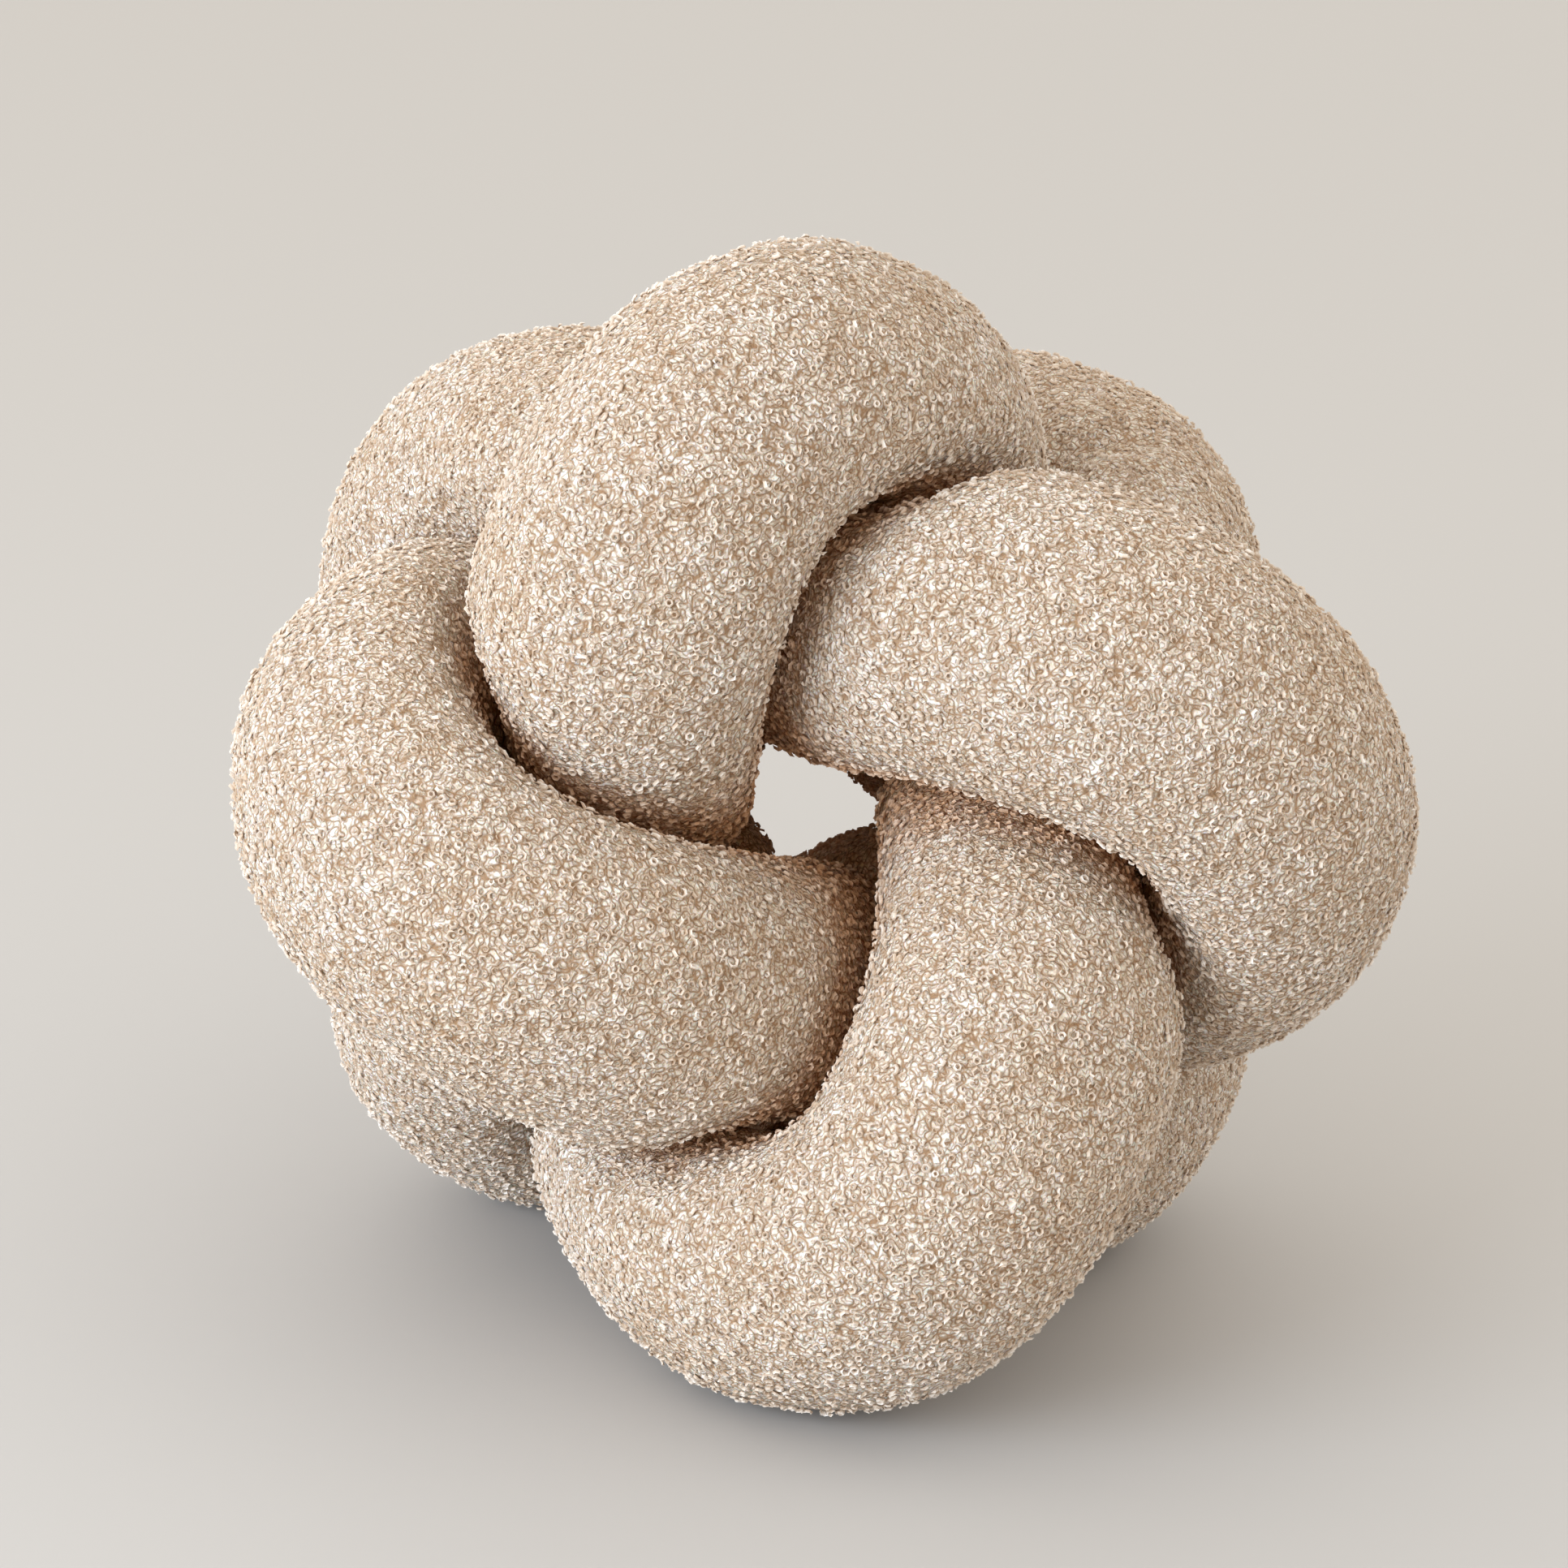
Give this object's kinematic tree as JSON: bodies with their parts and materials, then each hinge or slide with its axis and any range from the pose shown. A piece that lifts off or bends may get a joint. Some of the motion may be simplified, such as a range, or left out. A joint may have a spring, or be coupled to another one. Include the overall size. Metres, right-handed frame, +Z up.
{
  "type": "knot cushion",
  "caption": "Round decorative cushion: a stuffed tube of curly pile fabric, laced and closed on itself into an interlaced ball knot with a see-through middle.",
  "frame": {"origin": "under the middle of the cushion's box, on the surface that it rests on", "axes": "+Z up; the front pinwheel of lobes faces -Y and a little upwards; +X to the right seen from the front"},
  "size_m": [0.3044, 0.2802, 0.2906],
  "materials": {
    "curly_pile": "matt cream curly loop pile on a tan ground"
  },
  "bodies": {
    "root": {"knot_tube": "curly_pile"}
  },
  "joints": []
}
